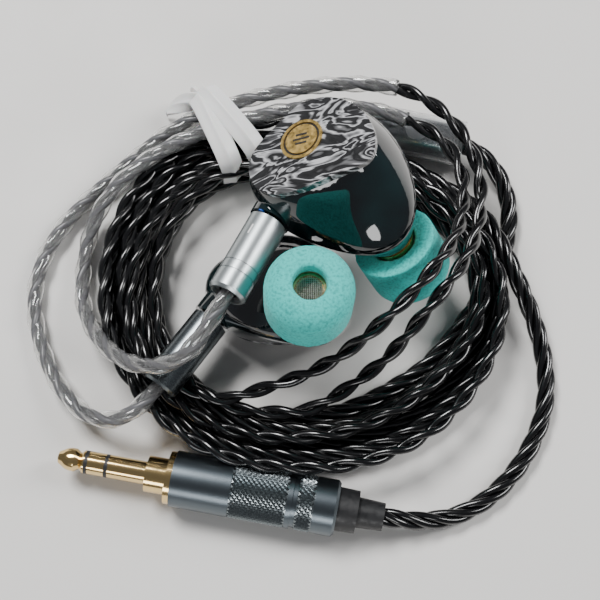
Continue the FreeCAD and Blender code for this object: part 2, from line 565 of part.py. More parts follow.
# ---------------------------------------------------------------- 3.5 mm plug
def contact_nodes():
    """Tip, ring and sleeve, with the insulators between them."""
    ring_end = PLUG_SLEEVE_START - INSULATOR_WIDTH
    tip_end = PLUG_RING_START - INSULATOR_WIDTH
    core_end = BARREL_START + PLUG_TAIL
    tip = turned([(0, 0), (0.9, 0.35), (1.6, 1.5), (PLUG_RADIUS, PLUG_NOSE), (PLUG_RADIUS, 2.9), (1.25, 3.6),
                  (PLUG_RADIUS, 4.2), (PLUG_RADIUS, tip_end), (PLUG_CORE_RADIUS, tip_end),
                  (PLUG_CORE_RADIUS, core_end), (0, core_end)])
    insulators = turned([(PLUG_CORE_RADIUS, tip_end), (PLUG_RADIUS, tip_end),
                         (PLUG_RADIUS, PLUG_RING_START), (INSULATOR_TUBE_RADIUS, PLUG_RING_START),
                         (INSULATOR_TUBE_RADIUS, ring_end), (PLUG_RADIUS, ring_end),
                         (PLUG_RADIUS, PLUG_SLEEVE_START), (INSULATOR_TUBE_RADIUS, PLUG_SLEEVE_START),
                         (INSULATOR_TUBE_RADIUS, core_end - 1), (PLUG_CORE_RADIUS, core_end - 1)])
    ring = tube(PLUG_RADIUS, INSULATOR_TUBE_RADIUS, PLUG_RING_START, ring_end)
    sleeve_end = BARREL_START + PLUG_TAIL - 2
    sleeve = turned([(INSULATOR_TUBE_RADIUS, PLUG_SLEEVE_START), (PLUG_RADIUS, PLUG_SLEEVE_START),
                     (PLUG_RADIUS, PLUG_LENGTH), (PLUG_ROOT_RADIUS, PLUG_LENGTH),
                     (PLUG_ROOT_RADIUS, sleeve_end), (INSULATOR_TUBE_RADIUS, sleeve_end)])
    return {"plug_tip": tip, "plug_insulators": insulators, "plug_ring": ring, "plug_sleeve": sleeve}


def plug_body_nodes():
    """Gold collar, barrel, rear collar, strain relief, and what they hide."""
    bore = BARREL_RADIUS - BARREL_WALL
    groove = BARREL_RADIUS - REAR_GROOVE
    cable_hole = MAIN_DIAMETER / 2
    collar = turned([(PLUG_ROOT_RADIUS, PLUG_LENGTH), (PLUG_COLLAR_RADIUS, PLUG_LENGTH),
                     (PLUG_COLLAR_RADIUS, COLLAR_END), (PLUG_FLANGE_RADIUS, COLLAR_END),
                     (PLUG_FLANGE_RADIUS, BARREL_START), (PLUG_ROOT_RADIUS, BARREL_START)])
    barrel = turned([(PLUG_ROOT_RADIUS, BARREL_START), (BARREL_RADIUS, BARREL_START),
                     (BARREL_RADIUS, REAR_START), (bore, REAR_START), (bore, BARREL_START + 1),
                     (PLUG_ROOT_RADIUS, BARREL_START + 1)])
    rear = turned([(RELIEF_SMALL_RADIUS, REAR_START), (groove, REAR_START), (groove, REAR_START + 0.7),
                   (BARREL_RADIUS, REAR_START + 0.7), (BARREL_RADIUS, RELIEF_START - 0.4),
                   (BARREL_RADIUS - 0.4, RELIEF_START), (RELIEF_SMALL_RADIUS, RELIEF_START)])
    relief = turned([(cable_hole, REAR_START), (RELIEF_SMALL_RADIUS, REAR_START),
                     (RELIEF_SMALL_RADIUS, RELIEF_START), (RELIEF_BIG_RADIUS, RELIEF_START),
                     (RELIEF_BIG_RADIUS - 0.1, RELIEF_STEP), (RELIEF_SMALL_RADIUS, RELIEF_STEP),
                     (RELIEF_SMALL_RADIUS - 0.2, PLUG_END), (cable_hole, PLUG_END)])
    clamp = tube(bore, cable_hole, REAR_START - 3, REAR_START)
    tag_height = BARREL_START + PLUG_TAIL - 2 + TAG_LENGTH / 2
    tags = [block((TAG_THICK, TAG_WIDTH, TAG_LENGTH), (side * TAG_OFFSET, 0, tag_height)) for side in (-1, 1)]
    return {"plug_collar": collar, "plug_barrel": barrel, "plug_rear_collar": rear,
            "plug_strain_relief": relief, "plug_cable_clamp": clamp,
            "plug_terminals": Part.makeCompound(tags)}


for name, shape in {**contact_nodes(), **plug_body_nodes()}.items():
    save(name, placed(shape, PLUG_FRAME))


# ---------------------------------------------------------------- twist tie
def make_tie():
    """Band round the coil and both ear hooks, its bottom run pressed into the coil."""
    low = TIE_SHIFT - TIE_SPAN / 2
    outer = Part.makeBox(TIE_WIDTH, TIE_SPAN, TIE_HEIGHT, Vector(-TIE_WIDTH / 2, low, 0))
    inner = Part.makeBox(TIE_WIDTH, TIE_SPAN - 2 * TIE_THICK, TIE_HEIGHT - 2 * TIE_THICK,
                         Vector(-TIE_WIDTH / 2, low + TIE_THICK, TIE_THICK))
    outer, inner = [box.makeFillet(radius, [edge for edge in box.Edges if abs(edge.Length - TIE_WIDTH) < 1e-6])
                    for box, radius in ((outer, TIE_ROUND), (inner, TIE_ROUND - TIE_THICK))]
    band = outer.cut(inner)
    band.rotate(Vector(0, 0, 0), Vector(0, 0, 1), TIE_TURN)
    band.translate(TIE_CENTRE)
    return band


save("twist_tie", make_tie())
print(len(MADE), "nodes")
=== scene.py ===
import json
import math
import bmesh
import bpy
from mathutils import Matrix, Vector, noise

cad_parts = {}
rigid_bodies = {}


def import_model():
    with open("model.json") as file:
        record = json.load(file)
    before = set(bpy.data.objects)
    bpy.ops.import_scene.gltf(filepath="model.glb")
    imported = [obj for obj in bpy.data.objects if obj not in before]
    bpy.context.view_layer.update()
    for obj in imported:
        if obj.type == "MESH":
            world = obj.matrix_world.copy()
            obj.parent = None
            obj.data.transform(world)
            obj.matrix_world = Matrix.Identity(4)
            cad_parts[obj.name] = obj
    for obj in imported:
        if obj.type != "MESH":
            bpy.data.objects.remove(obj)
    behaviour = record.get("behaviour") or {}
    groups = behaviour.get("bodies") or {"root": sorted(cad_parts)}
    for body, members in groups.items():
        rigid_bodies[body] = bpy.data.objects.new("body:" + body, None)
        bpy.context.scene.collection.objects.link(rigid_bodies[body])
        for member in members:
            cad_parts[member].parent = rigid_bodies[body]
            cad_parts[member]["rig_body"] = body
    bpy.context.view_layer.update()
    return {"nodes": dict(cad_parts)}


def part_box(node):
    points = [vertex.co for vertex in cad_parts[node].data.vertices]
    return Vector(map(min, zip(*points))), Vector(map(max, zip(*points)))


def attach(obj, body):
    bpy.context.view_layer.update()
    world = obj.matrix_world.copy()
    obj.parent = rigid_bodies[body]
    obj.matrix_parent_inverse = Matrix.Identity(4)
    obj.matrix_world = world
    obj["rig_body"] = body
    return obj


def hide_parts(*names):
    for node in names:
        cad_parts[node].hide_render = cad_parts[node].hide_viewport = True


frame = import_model()
nodes = frame["nodes"]
bpy.ops.object.select_all(action="DESELECT")

# Where the eye is: almost straight above the table, a little towards the plug's side.
AIM = Vector((-0.0034, -0.0059, 0.0))
EYE_DISTANCE = 0.185
EYE_TILT = math.radians(75.0)
eye = AIM + EYE_DISTANCE * Vector((0.0, -math.cos(EYE_TILT), math.sin(EYE_TILT)))
bpy.ops.object.camera_add(location=eye, rotation=(math.pi / 2 - EYE_TILT, 0.0, 0.0))
camera = bpy.context.object
camera.data.sensor_width = 36.0
camera.data.lens = 69.0
camera.data.clip_start = 0.005
bpy.context.scene.camera = camera

# ---- Cable -----------------------------------------------------------------------------
# Soft black cable. Four strands are twisted together between the plug and the splitter,
# and two strands run on from the splitter to each earpiece. Spare length lies in a coil.
MAIN_TWIST = 0.0155               # one full turn of the four strands
PAIR_TWIST = 0.0110
COIL_MIDDLE = Vector((-0.004, -0.005, 0.0))
COIL_REACH = [(0.0276, 0.0340), (0.0208, 0.0284), (0.0187, 0.0257), (0.0211, 0.0312),
              (0.0210, 0.0314), (0.0204, 0.0294), (0.0190, 0.0284), (0.0208, 0.0322)]
COIL_STEP = 18.0                  # degrees between a turn's points
COIL_WANDER = 0.035               # how far a turn strays across the coil's width
COIL_WANDER_RATE = 2.3            # strays per turn
MAIN_STRAND = 0.0006              # radius of one strand, and how far it lies from the middle
MAIN_STRAND_OUT = 0.00085
PAIR_STRAND = 0.000575

PLUG_TIP_END = Vector((-0.0402, -0.0316, 0.00425))
PLUG_ANGLE = math.radians(-10.4)
PLUG_AXIS = Vector((math.cos(PLUG_ANGLE), math.sin(PLUG_ANGLE), 0.0))
SPLITTER_CENTRE = Vector((0.0155, 0.0211, 0.0038))
SPLITTER_ANGLE = math.radians(-12.5)
SPLITTER_AXIS = Vector((math.cos(SPLITTER_ANGLE), math.sin(SPLITTER_ANGLE), 0.0))
SPLITTER_SIDE = Vector((math.sin(SPLITTER_ANGLE), -math.cos(SPLITTER_ANGLE), 0.0))


def on_plug(along):
    """A point on the plug's axis, from its tip."""
    return PLUG_TIP_END + PLUG_AXIS * along


def on_splitter(along, side=0.0):
    """A point on the splitter's axis, from its middle towards the plug's cable."""
    return SPLITTER_CENTRE + SPLITTER_AXIS * along + SPLITTER_SIDE * side


def smooth_between(rows, where, period=None):
    """Value at a place between evenly spaced rows, on a curve through them."""
    count = len(rows)
    low = math.floor(where)
    share = where - low
    values = []
    for step in (-1, 0, 1, 2):
        index = low + step
        index = index % count if period else min(max(index, 0), count - 1)
        values.append(rows[index])
    before, start, end, after = values
    return start + 0.5 * share * (end - before + share * (
        2 * before - 5 * start + 4 * end - after + share * (3 * (start - end) + after - before)))


def coil_reach(direction, share):
    """Distance from the coil's middle at a lane's share of its width."""
    where = (direction % 360.0) / 45.0
    inner = smooth_between([row[0] for row in COIL_REACH], where, True)
    outer = smooth_between([row[1] for row in COIL_REACH], where, True)
    return inner + share * (outer - inner)


def coil_turns(start, end, lanes, heights):
    """Points of a winding from one direction to another, clockwise from above."""
    count = math.ceil((start - end) / COIL_STEP)
    points = []
    for step in range(1, count):
        done = step / count
        direction = start + done * (end - start)
        share = smooth_between(lanes, done * (len(lanes) - 1))
        stray = direction * COIL_WANDER_RATE + 70 * lanes[0]
        share += COIL_WANDER * math.sin(math.radians(stray))
        reach = coil_reach(direction, share)
        height = smooth_between(heights, done * (len(heights) - 1))
        turn = math.radians(direction)
        points.append(COIL_MIDDLE + Vector((reach * math.cos(turn), reach * math.sin(turn), height)))
    return points


def settled_line(name, route):
    """The smooth line through a cable's route, read back as closely spaced points."""
    line = bpy.data.curves.new(name, "CURVE")
    line.dimensions = "3D"
    line.resolution_u = 12
    spline = line.splines.new("NURBS")
    spline.points.add(len(route) - 1)
    for point, place in zip(spline.points, route):
        point.co = (*place, 1.0)
    spline.order_u = 3
    spline.use_endpoint_u = True
    holder = bpy.data.objects.new(name, line)
    mesh = bpy.data.meshes.new_from_object(holder)
    points = [vertex.co.copy() for vertex in mesh.vertices]
    bpy.data.objects.remove(holder)
    return points


def even_steps(points, step):
    """The same line with points a fixed distance apart."""
    spaced = [points[0].copy()]
    left = step
    for start, end in zip(points, points[1:]):
        run = (end - start).length
        while run >= left > 0:
            start = start.lerp(end, left / run)
            spaced.append(start.copy())
            run = (end - start).length
            left = step
        left -= run
    return spaced


def frames_along(points):
    """Two directions across the line at each point, carried along without twist."""
    across = None
    frames = []
    for index, point in enumerate(points):
        ahead = points[min(index + 1, len(points) - 1)] - points[max(index - 1, 0)]
        ahead.normalize()
        if across is None:
            across = ahead.orthogonal().normalized()
        across = (across - ahead * across.dot(ahead)).normalized()
        frames.append((across.copy(), ahead.cross(across)))
    return frames


def strand_mesh(name, points, count, strand_radius, offset, twist, step, materials, parts):
    """Strands twisted round a line. parts says which stretch has which material."""
    frames = frames_along(points)
    bundle = bpy.data.curves.new(name, "CURVE")
    bundle.dimensions = "3D"
    bundle.bevel_depth = strand_radius
    bundle.bevel_resolution = 3
    bundle.use_fill_caps = True
    for finish in materials:
        bundle.materials.append(finish)
    for strand in range(count):
        for first, last, index in parts:
            spline = bundle.splines.new("POLY")
            chosen = range(first, last)
            spline.points.add(len(chosen) - 1)
            spline.material_index = index
            spline.use_smooth = True
            for point, place in zip(spline.points, chosen):
                turn = 2 * math.pi * (strand / count + place * step / twist)
                side, up = frames[place]
                at = points[place] + offset * (math.cos(turn) * side + math.sin(turn) * up)
                point.co = (*at, 1.0)
    holder = bpy.data.objects.new(name, bundle)
    mesh = bpy.data.meshes.new_from_object(holder)
    bpy.data.objects.remove(holder)
    piece = bpy.data.objects.new(name, mesh)
    bpy.context.scene.collection.objects.link(piece)
    return piece


def new_finish(name, colour, roughness, metallic=0.0):
    """A finish with one colour, roughness and metalness."""
    finish = bpy.data.materials.new(name)
    finish.use_nodes = True
    shader = finish.node_tree.nodes["Principled BSDF"]
    shader.inputs["Base Color"].default_value = (*colour, 1.0)
    shader.inputs["Roughness"].default_value = roughness
    shader.inputs["Metallic"].default_value = metallic
    return finish, shader


def add_grain(finish, shader, scale, low, high, relief, axis=None, fineness=1.0):
    """Fine unevenness in gloss and surface. With an axis it becomes turning lines round it."""
    parts, links = finish.node_tree.nodes, finish.node_tree.links
    place = parts.new("ShaderNodeTexCoord")
    lay = parts.new("ShaderNodeMapping")
    lay.vector_type = "TEXTURE"
    if axis is not None:
        lay.inputs["Rotation"].default_value = Vector((1, 0, 0)).rotation_difference(axis).to_euler()
        lay.inputs["Scale"].default_value = (1.0 / fineness, 1.0, 1.0)
    grain = parts.new("ShaderNodeTexNoise")
    grain.inputs["Scale"].default_value = scale
    grain.inputs["Detail"].default_value = 5.0
    spread = parts.new("ShaderNodeMapRange")
    spread.inputs["From Min"].default_value = 0.3
    spread.inputs["From Max"].default_value = 0.7
    spread.inputs["To Min"].default_value = low
    spread.inputs["To Max"].default_value = high
    bump = parts.new("ShaderNodeBump")
    bump.inputs["Strength"].default_value = 1.0
    bump.inputs["Distance"].default_value = relief
    links.new(place.outputs["Object"], lay.inputs["Vector"])
    links.new(lay.outputs["Vector"], grain.inputs["Vector"])
    links.new(grain.outputs["Fac"], spread.inputs["Value"])
    links.new(spread.outputs["Result"], shader.inputs["Roughness"])
    links.new(grain.outputs["Fac"], bump.inputs["Height"])
    links.new(bump.outputs["Normal"], shader.inputs["Normal"])
    return grain


jacket_black, jacket_shader = new_finish("cable_jacket_black", (0.0025, 0.0025, 0.003), 0.2)
jacket_shader.inputs["Coat Weight"].default_value = 0.4
jacket_shader.inputs["Coat Roughness"].default_value = 0.12
add_grain(jacket_black, jacket_shader, 500.0, 0.14, 0.28, 0.00002)
jacket_grey, grey_shader = new_finish("cable_jacket_under_sleeve", (0.11, 0.11, 0.115), 0.25)
add_grain(jacket_grey, grey_shader, 700.0, 0.2, 0.4, 0.00002)

MAIN_HEAD = [
    (0.0270, 0.0172, 0.0034), (0.0298, 0.0134, 0.0023), (0.0309, 0.0082, 0.0015),
    (0.0298, 0.0022, 0.0015), (0.0272, -0.0038, 0.0016)]
MAIN_TAIL = [
    (0.0148, -0.0412, 0.0026), (0.0206, -0.0404, 0.0015), (0.0267, -0.0369, 0.0015),
    (0.0318, -0.0309, 0.0015), (0.0350, -0.0235, 0.0015), (0.0352, -0.0165, 0.0015),
    (0.0336, -0.0099, 0.0026), (0.0311, -0.0044, 0.0046), (0.0289, 0.0009, 0.0050),
    (0.0268, 0.0056, 0.0044), (0.0242, 0.0094, 0.0032)]
SPLITTER_TAIL = 0.005             # cable end inside the splitter
SPLITTER_MOUTH = 0.0082
RELIEF_INSIDE = 0.0441            # cable end inside the strain relief
RELIEF_MOUTH = 0.0519
main_route = [on_splitter(SPLITTER_TAIL), on_splitter(SPLITTER_MOUTH), *map(Vector, MAIN_HEAD)]
main_route += coil_turns(
    -9.4, -1406.0,
    [0.12, 0.17, 0.22, 0.27, 0.33, 0.38, 0.43, 0.48, 0.54, 0.60, 0.66, 0.71, 0.76, 0.82, 0.88, 0.93, 0.93],
    [0.0020, 0.0016, 0.0015, 0.0017, 0.0036, 0.0034, 0.0032, 0.0036, 0.0020, 0.0015, 0.0015, 0.0017,
     0.0038, 0.0034, 0.0032, 0.0036, 0.0030])
main_route += [*map(Vector, reversed(MAIN_TAIL)), on_plug(RELIEF_MOUTH), on_plug(RELIEF_INSIDE)]
MAIN_STEP = 0.0007
main_points = even_steps(settled_line("main_line", main_route), MAIN_STEP)
main_cord = strand_mesh("main_cord", main_points, 4, MAIN_STRAND, MAIN_STRAND_OUT, MAIN_TWIST, MAIN_STEP,
                        [jacket_black], [(0, len(main_points), 0)])
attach(main_cord, "cable_assembly")
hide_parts("main_cable", "cable_coil")

# ---- Ear cables and their hooks ----------------------------------------------------------
# A black twisted pair to each earpiece. Its first stretch runs inside a clear heat-shrunk
# sleeve that is shaped to hook over the ear, and the pair's twist shows through it.
HOOK_RADIUS = 0.0014
HOOK_WALL = 0.00022
HOOK_SIDES = 16
HOOK_LOBE = 0.15                  # how much the sleeve swells over each strand
PAIR_STEP = 0.0006
LEFT_HOOK = [
    (-0.0193, -0.0193, 0.0190), (-0.0248, -0.0202, 0.0149), (-0.0304, -0.0180, 0.0108),
    (-0.0350, -0.0132, 0.0066), (-0.0379, -0.0072, 0.0030), (-0.0382, -0.0008, 0.0016),
    (-0.0370, 0.0056, 0.0030), (-0.0334, 0.0112, 0.0056), (-0.0274, 0.0159, 0.0072),
    (-0.0204, 0.0194, 0.0078), (-0.0126, 0.0218, 0.0082), (-0.0050, 0.0231, 0.0094),
    (0.0026, 0.0234, 0.0103), (0.0090, 0.0225, 0.0103), (0.0144, 0.0206, 0.0102)]
LEFT_EAR = [
    (0.0191, 0.0174, 0.0110), (0.0217, 0.0121, 0.0120), (0.0216, 0.0052, 0.0145),
    (0.0196, -0.0011, 0.0180), (0.0163, -0.0062, 0.0208), (0.0126, -0.0104, 0.0208),
    (0.0089, -0.0138, 0.0188), (0.0044, -0.0170, 0.0150), (-0.0005, -0.0194, 0.0108),
    (-0.0059, -0.0208, 0.0074), (-0.0114, -0.0222, 0.0060), (-0.0166, -0.0236, 0.0054)]
RIGHT_HOOK = [
    (-0.0292, -0.0263, 0.0082), (-0.0339, -0.0266, 0.0064), (-0.0384, -0.0236, 0.0042),
    (-0.0422, -0.0184, 0.0024), (-0.0449, -0.0122, 0.0015), (-0.0460, -0.0056, 0.0015),
    (-0.0448, 0.0008, 0.0015), (-0.0416, 0.0066, 0.0015), (-0.0372, 0.0114, 0.0017),
    (-0.0320, 0.0158, 0.0028), (-0.0260, 0.0202, 0.0050), (-0.0190, 0.0236, 0.0069),
    (-0.0110, 0.0258, 0.0079), (-0.0026, 0.0270, 0.0094), (0.0054, 0.0273, 0.0101),
    (0.0128, 0.0265, 0.0102)]
RIGHT_EAR = [
    (0.0177, 0.0234, 0.0112), (0.0220, 0.0183, 0.0120), (0.0244, 0.0121, 0.0120),
    (0.0244, 0.0052, 0.0130), (0.0223, -0.0018, 0.0160), (0.0190, -0.0074, 0.0185),
    (0.0157, -0.0114, 0.0185), (0.0126, -0.0149, 0.0155), (0.0095, -0.0179, 0.0110),
    (0.0056, -0.0205, 0.0080), (0.0014, -0.0231, 0.0062), (-0.0032, -0.0253, 0.0054)]
LEFT_LEAD = Vector((-0.0074, 0.0210, 0.0046))
RIGHT_LEAD = Vector((-0.0074, 0.0237, 0.0044))
LEAD_OFFSET = 0.00125
LEAD_MOUTH = -0.0145
LEAD_INSIDE = -0.007

sleeve_clear, sleeve_shader = new_finish("hook_sleeve_clear", (0.97, 0.97, 0.96), 0.06)
sleeve_shader.inputs["Transmission Weight"].default_value = 0.95
sleeve_shader.inputs["IOR"].default_value = 1.38
sleeve_shader.inputs["Coat Weight"].default_value = 0.5
add_grain(sleeve_clear, sleeve_shader, 600.0, 0.03, 0.12, 0.00001)


def sleeve_mesh(name, points, step, twist):
    """A thin clear skin shrunk over the twisted pair: two soft lobes that turn with it."""
    frames = frames_along(points)
    corners, faces = [], []
    for index, (side, up) in enumerate(frames):
        turn = 2 * math.pi * index * step / twist
        for corner in range(HOOK_SIDES):
            angle = 2 * math.pi * corner / HOOK_SIDES
            radius = HOOK_RADIUS * (1 - HOOK_LOBE + HOOK_LOBE * math.cos(2 * (angle - turn)))
            corners.append(points[index] + radius * (math.cos(angle) * side + math.sin(angle) * up))
    for index in range(len(points) - 1):
        for corner in range(HOOK_SIDES):
            after = (corner + 1) % HOOK_SIDES
            low, high = index * HOOK_SIDES, (index + 1) * HOOK_SIDES
            faces.append((low + corner, low + after, high + after, high + corner))
    mesh = bpy.data.meshes.new(name)
    mesh.from_pydata(corners, [], faces)
    piece = bpy.data.objects.new(name, mesh)
    bpy.context.scene.collection.objects.link(piece)
    bpy.context.view_layer.objects.active = piece
    piece.select_set(True)
    wall = piece.modifiers.new("wall", "SOLIDIFY")
    wall.thickness = HOOK_WALL
    wall.offset = -1.0
    bpy.ops.object.modifier_apply(modifier="wall")
    bpy.ops.object.shade_smooth()
    piece.data.materials.append(sleeve_clear)
    piece.select_set(False)
    return piece


def nearest_step(points, place):
    """Which of a line's points lies nearest a place."""
    return min(range(len(points)), key=lambda index: (points[index] - Vector(place)).length)


def ear_cord(side, connector, hook, ear, winding, lead, lead_side):
    """One ear's cable from its connector to the splitter, with its hook sleeve."""
    route = [*map(Vector, connector), *map(Vector, hook), *map(Vector, ear), *coil_turns(*winding)]
    route += [lead, on_splitter(LEAD_MOUTH, lead_side), on_splitter(LEAD_INSIDE, lead_side)]
    points = even_steps(settled_line(side + "_line", route), PAIR_STEP)
    hook_end = nearest_step(points, hook[-1])
    cord = strand_mesh(side + "_ear_cord", points, 2, PAIR_STRAND, PAIR_STRAND, PAIR_TWIST, PAIR_STEP,
                       [jacket_black, jacket_grey],
                       [(0, hook_end, 1), (hook_end - 1, len(points), 0)])
    sleeve = sleeve_mesh(side + "_hook_sleeve", points[4:hook_end], PAIR_STEP, PAIR_TWIST)
    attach(cord, "cable_assembly")
    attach(sleeve, "cable_assembly")
    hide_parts(side + "_ear_cable")
    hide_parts(side + "_ear_hook")
    return cord, sleeve, points


LEFT_CONNECTOR = [(-0.01255, -0.0081, 0.0206), (-0.01545, -0.0138, 0.0214)]
RIGHT_CONNECTOR = [(-0.02285, -0.01935, 0.0087), (-0.02555, -0.0229, 0.0089)]
left_cord, left_sleeve, left_points = ear_cord(
    "left", LEFT_CONNECTOR, LEFT_HOOK, LEFT_EAR,
    (227.0, -262.5, [0.62, 0.37, 0.37, 0.38, 0.58, 0.64, 0.8],
     [0.0048, 0.0052, 0.0050, 0.0060, 0.0054, 0.0052, 0.0046]), LEFT_LEAD, LEAD_OFFSET)
right_cord, right_sleeve, right_points = ear_cord(
    "right", RIGHT_CONNECTOR, RIGHT_HOOK, RIGHT_EAR,
    (260.0, -263.2, [0.32, 0.10, 0.30, 0.78, 1.05, 0.92, 1.0],
     [0.0048, 0.0052, 0.0068, 0.0064, 0.0078, 0.0056, 0.0046]), RIGHT_LEAD, -LEAD_OFFSET)


LEFT_EXIT = Vector((-0.01391, -0.01077, 0.02097))


def dressed(node, finish, angle=30.0):
    """A merged, smoothly shaded copy of a machined or moulded piece, in its finish."""
    source = nodes[node]
    piece = bpy.data.objects.new(node + "_finished", source.data.copy())
    bpy.context.scene.collection.objects.link(piece)
    bpy.context.view_layer.objects.active = piece
    piece.select_set(True)
    if piece.data.has_custom_normals:
        bpy.ops.mesh.customdata_custom_splitnormals_clear()
    bpy.ops.object.mode_set(mode="EDIT")
    bpy.ops.mesh.select_all(action="SELECT")
    bpy.ops.mesh.remove_doubles(threshold=1e-7)
    bpy.ops.object.mode_set(mode="OBJECT")
    bpy.ops.object.shade_smooth_by_angle(angle=math.radians(angle))
    piece.data.materials.clear()
    piece.data.materials.append(finish)
    piece.select_set(False)
    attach(piece, source["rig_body"])
    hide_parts(node)
    return piece


shell_resin, shell_shader = new_finish("shell_resin_black", (0.004, 0.007, 0.008), 0.04)
shell_shader.inputs["Coat Weight"].default_value = 1.0
shell_shader.inputs["Coat Roughness"].default_value = 0.02
# The resin is black; the teal patches mottling its colour are painted reflection of the turquoise foam
# tips.
depth = shell_resin.node_tree.nodes.new("ShaderNodeTexNoise")
depth.inputs["Scale"].default_value = 90.0
shell_reflection_tint = shell_resin.node_tree.nodes.new("ShaderNodeValToRGB")
shell_reflection_tint.color_ramp.elements[0].color = (0.002, 0.003, 0.004, 1.0)
shell_reflection_tint.color_ramp.elements[0].position = 0.45
shell_reflection_tint.color_ramp.elements[1].color = (0.004, 0.020, 0.022, 1.0)
shell_reflection_tint.color_ramp.elements[1].position = 0.75
where = shell_resin.node_tree.nodes.new("ShaderNodeTexCoord")
shell_resin.node_tree.links.new(where.outputs["Object"], depth.inputs["Vector"])
shell_resin.node_tree.links.new(depth.outputs["Fac"], shell_reflection_tint.inputs["Fac"])
shell_resin.node_tree.links.new(shell_reflection_tint.outputs["Color"], shell_shader.inputs["Base Color"])
for side in ("left", "right"):
    dressed(side + "_shell", shell_resin, 40.0)

# ---- Faceplates --------------------------------------------------------------------------
# Dark resin plates with silver-white pigment drawn through them in fine marbled veins,
# under a clear polished coat.
marble, marble_shader = new_finish("faceplate_marbled_resin", (0.02, 0.02, 0.022), 0.07)
marble_shader.inputs["Coat Weight"].default_value = 1.0
marble_shader.inputs["Coat Roughness"].default_value = 0.02
parts, links = marble.node_tree.nodes, marble.node_tree.links
place = parts.new("ShaderNodeTexCoord")
veins = parts.new("ShaderNodeTexNoise")
veins.inputs["Scale"].default_value = 210.0
veins.inputs["Detail"].default_value = 3.0
veins.inputs["Roughness"].default_value = 0.45
veins.inputs["Distortion"].default_value = 1.6
turned = parts.new("ShaderNodeMapping")
turned.inputs["Rotation"].default_value = (0.0, 0.0, math.radians(-14.0))
turned.inputs["Scale"].default_value = (0.42, 1.0, 0.6)
pigment = parts.new("ShaderNodeValToRGB")
ramp = pigment.color_ramp
ramp.elements[0].position = 0.30
ramp.elements[0].color = (0.012, 0.012, 0.013, 1.0)
ramp.elements[1].position = 0.72
ramp.elements[1].color = (0.03, 0.03, 0.032, 1.0)
for spot, grey in ((0.38, 0.10), (0.40, 0.50), (0.42, 0.03), (0.47, 0.014), (0.50, 0.28), (0.515, 0.62),
                   (0.535, 0.03), (0.58, 0.014), (0.61, 0.16), (0.625, 0.55), (0.65, 0.02)):
    ramp.elements.new(spot).color = (grey, grey, grey * 1.03, 1.0)
links.new(place.outputs["Object"], turned.inputs["Vector"])
links.new(turned.outputs["Vector"], veins.inputs["Vector"])
links.new(veins.outputs["Fac"], pigment.inputs["Fac"])
links.new(pigment.outputs["Color"], marble_shader.inputs["Base Color"])
for side in ("left", "right"):
    dressed(side + "_faceplate", marble, 40.0)

# ---- Badges ------------------------------------------------------------------------------
# A stamped brass-gold disc is set in each faceplate. It has a dark ring pressed into it and
# three short dark bars on its face, as a plain ornament.
BADGE_RADIUS = 0.0033
BADGE_SINK = 0.00022
FACE_NORMALS = {"left": Vector((-0.451, 0.235, 0.861)).normalized(),
                "right": Vector((-0.04, -0.17, -0.985)).normalized()}
badge_gold, gold_shader = new_finish("badge_brass_gold", (0.85, 0.58, 0.19), 0.28, 1.0)
add_grain(badge_gold, gold_shader, 1500.0, 0.24, 0.42, 0.00002)
badge_dark, dark_shader = new_finish("badge_pressed_enamel", (0.012, 0.010, 0.008), 0.45)
add_grain(badge_dark, dark_shader, 1800.0, 0.35, 0.6, 0.00002)


def stand_on(piece, centre, normal):
    """Turns a piece made flat at the origin to stand on a face, with its place in its mesh."""
    turn = Vector((0, 0, 1)).rotation_difference(normal).to_matrix().to_4x4()
    piece.data.transform(Matrix.Translation(centre) @ turn)


def press_in(piece, chosen, width, sink):
    """Presses chosen faces inwards and colours the pressed floor dark."""
    bpy.ops.object.mode_set(mode="EDIT")
    bpy.ops.mesh.select_all(action="DESELECT")
    bpy.ops.object.mode_set(mode="OBJECT")
    for face in piece.data.polygons:
        face.select = chosen(face)
    bpy.ops.object.mode_set(mode="EDIT")
    bpy.ops.mesh.inset(thickness=width)
    bpy.ops.transform.translate(value=(0, 0, -sink))
    piece.active_material_index = 1
    bpy.ops.object.material_slot_assign()
    bpy.ops.object.mode_set(mode="OBJECT")


